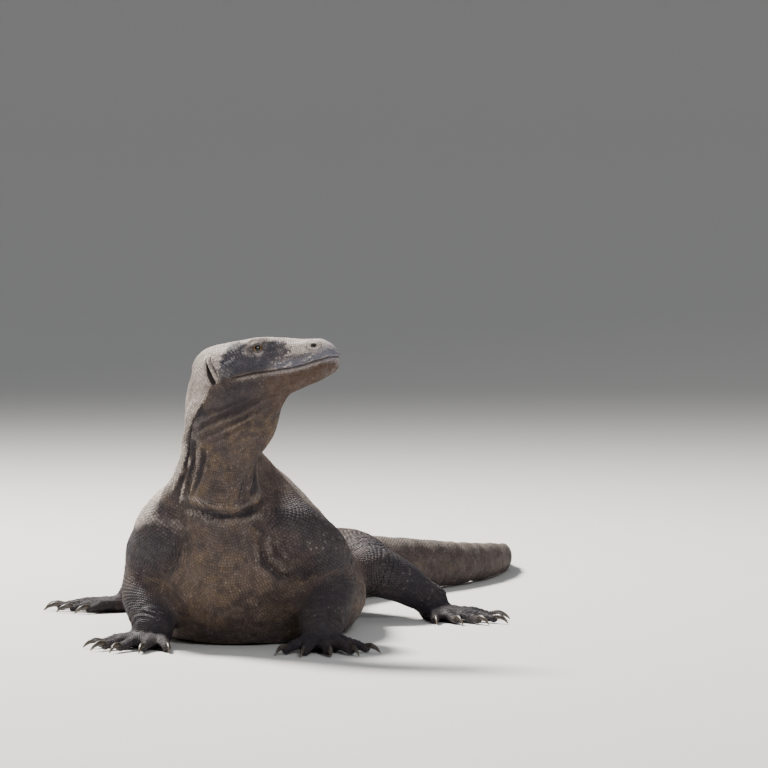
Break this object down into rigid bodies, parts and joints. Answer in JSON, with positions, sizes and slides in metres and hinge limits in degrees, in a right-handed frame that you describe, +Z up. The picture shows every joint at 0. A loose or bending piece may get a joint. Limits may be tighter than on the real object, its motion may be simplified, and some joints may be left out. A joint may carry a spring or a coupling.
{
  "type": "komodo dragon, still life-size model",
  "caption": "Still life-size komodo dragon, lying on its belly with the chest propped on the forelimbs and the head turned to its left.",
  "frame": {"origin": "middle of the footprint, on the floor", "axes": "+Z up, the trunk and tail along Y with the tail towards +Y, +X towards the animal's left"},
  "size_m": [0.8126, 2.0836, 0.4793],
  "materials": {
    "hide": "matte",
    "hide_dark": "matte",
    "hide_pale": "matte",
    "claw_horn": "satin",
    "eye_brown": "gloss"
  },
  "bodies": {
    "root": {"belly": "hide", "chest": "hide", "claw_foot_left_1": "claw_horn", "claw_foot_left_2": "claw_horn", "claw_foot_left_3": "claw_horn", "claw_foot_left_4": "claw_horn", "claw_foot_left_5": "claw_horn", "claw_foot_right_1": "claw_horn", "claw_foot_right_2": "claw_horn", "claw_foot_right_3": "claw_horn", "claw_foot_right_4": "claw_horn", "claw_foot_right_5": "claw_horn", "claw_hand_left_1": "claw_horn", "claw_hand_left_2": "claw_horn", "claw_hand_left_3": "claw_horn", "claw_hand_left_4": "claw_horn", "claw_hand_left_5": "claw_horn", "claw_hand_right_1": "claw_horn", "claw_hand_right_2": "claw_horn", "claw_hand_right_3": "claw_horn", "claw_hand_right_4": "claw_horn", "claw_hand_right_5": "claw_horn", "eye_left": "eye_brown", "eye_right": "eye_brown", "foot_left": "hide_dark", "foot_right": "hide_dark", "forearm_left": "hide_dark", "forearm_right": "hide_dark", "hand_left": "hide_dark", "hand_right": "hide_dark", "head": "hide_pale", "hips": "hide", "lower_jaw": "hide_pale", "neck_lower": "hide", "neck_upper": "hide", "shank_left": "hide_dark", "shank_right": "hide_dark", "tail_1": "hide", "tail_2": "hide", "tail_3": "hide", "tail_4": "hide", "tail_5": "hide", "thigh_left": "hide", "thigh_right": "hide", "upper_arm_left": "hide", "upper_arm_right": "hide"}
  },
  "joints": []
}
